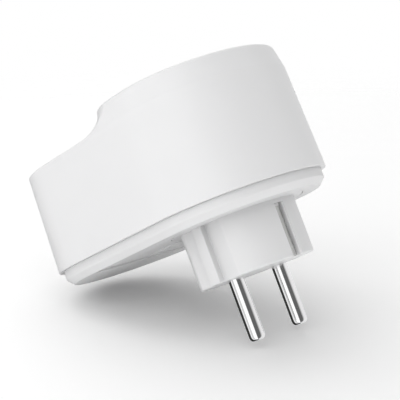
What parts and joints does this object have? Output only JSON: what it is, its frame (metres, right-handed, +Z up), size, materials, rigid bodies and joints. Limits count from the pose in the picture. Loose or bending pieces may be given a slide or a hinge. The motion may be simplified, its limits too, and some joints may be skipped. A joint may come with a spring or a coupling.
{
  "type": "plug-in power meter",
  "caption": "Plug-in energy meter: an earthed plug on the back, an earthed socket on the front, a small display and push buttons on the narrow end.",
  "frame": {"origin": "on the plug axis, in the plane of the flat back face that meets the wall socket", "axes": "+X right seen from the front, +Y into the wall along the plug pins, +Z up along the housing towards the narrow display end"},
  "size_m": [0.0602, 0.0806, 0.1041],
  "materials": {
    "shell": "smooth satin white",
    "cover": "fine satin white",
    "plug": "satin white",
    "pin_metal": "polished nickel",
    "strip_metal": "rolled nickel-plated strip",
    "brass": "stamped brass",
    "shunt_alloy": "manganin",
    "insulator": "moulded",
    "socket_plastic": "satin white",
    "shutter": "moulded",
    "spring_steel": "bright",
    "screw_steel": "zinc plated",
    "board": "solder mask",
    "capacitor_box": "moulded box",
    "capacitor_can": "sleeved can",
    "varistor_coat": "dipped",
    "ceramic": "coated",
    "battery_wrap": "shrink sleeve",
    "chip": "moulded epoxy",
    "lead_red": "insulated wire",
    "lead_white": "insulated wire",
    "lcd": "reflective display",
    "elastomer": "moulded",
    "window": "clear polished",
    "button": "satin light grey",
    "plunger": "moulded"
  },
  "bodies": {
    "housing": {"front_shell": "shell", "back_cover": "cover", "plug_insert": "plug", "plug_pin_line": "pin_metal", "plug_pin_neutral": "pin_metal", "plug_earth_contact": "strip_metal", "line_bus_bar": "brass", "neutral_bus_bar": "brass", "shunt_resistor": "shunt_alloy", "contact_spacer": "insulator", "socket_contact_line": "brass", "socket_contact_neutral": "brass", "earth_post": "brass", "socket_insert": "socket_plastic", "socket_earth_clip": "strip_metal", "shutter_spring": "spring_steel", "shutter_washer": "spring_steel", "socket_screws": "screw_steel", "plug_screws": "screw_steel", "main_board": "board", "board_screws": "screw_steel", "film_capacitor": "capacitor_box", "smoothing_capacitor": "capacitor_can", "varistor": "varistor_coat", "fuse": "ceramic", "backup_battery": "battery_wrap", "metering_chip": "chip", "microcontroller": "chip", "crystal": "spring_steel", "voltage_leads": "lead_red", "shunt_leads": "lead_white", "board_header": "chip", "display_board": "board", "display_screws": "screw_steel", "lcd_module": "lcd", "contact_strips": "elastomer", "lcd_window": "window", "switch_bodies": "chip"},
    "mode_button": {"mode_button": "button", "mode_switch_plunger": "plunger"},
    "down_button": {"down_button": "button", "down_switch_plunger": "plunger"},
    "up_button": {"up_button": "button", "up_switch_plunger": "plunger"},
    "shutter": {"safety_shutter": "shutter"}
  },
  "joints": [
    {"name": "mode_button_press", "type": "slide", "parent": "housing", "child": "mode_button", "axis": [0, 1, 0], "range_m": [0, 0.0008], "stiffness_N_per_m": 1200, "springref_m": -0.0006},
    {"name": "down_button_press", "type": "slide", "parent": "housing", "child": "down_button", "axis": [0, 1, 0], "range_m": [0, 0.0008], "stiffness_N_per_m": 1200, "springref_m": -0.0006},
    {"name": "up_button_press", "type": "slide", "parent": "housing", "child": "up_button", "axis": [0, 1, 0], "range_m": [0, 0.0008], "stiffness_N_per_m": 1200, "springref_m": -0.0006},
    {"name": "shutter_turn", "type": "hinge", "parent": "housing", "child": "shutter", "pos_m": [0, -0.0223, 0], "axis": [0, -1, 0], "range_deg": [0, 38], "stiffness_Nm_per_rad": 0.02, "springref_deg": -11.46}
  ]
}
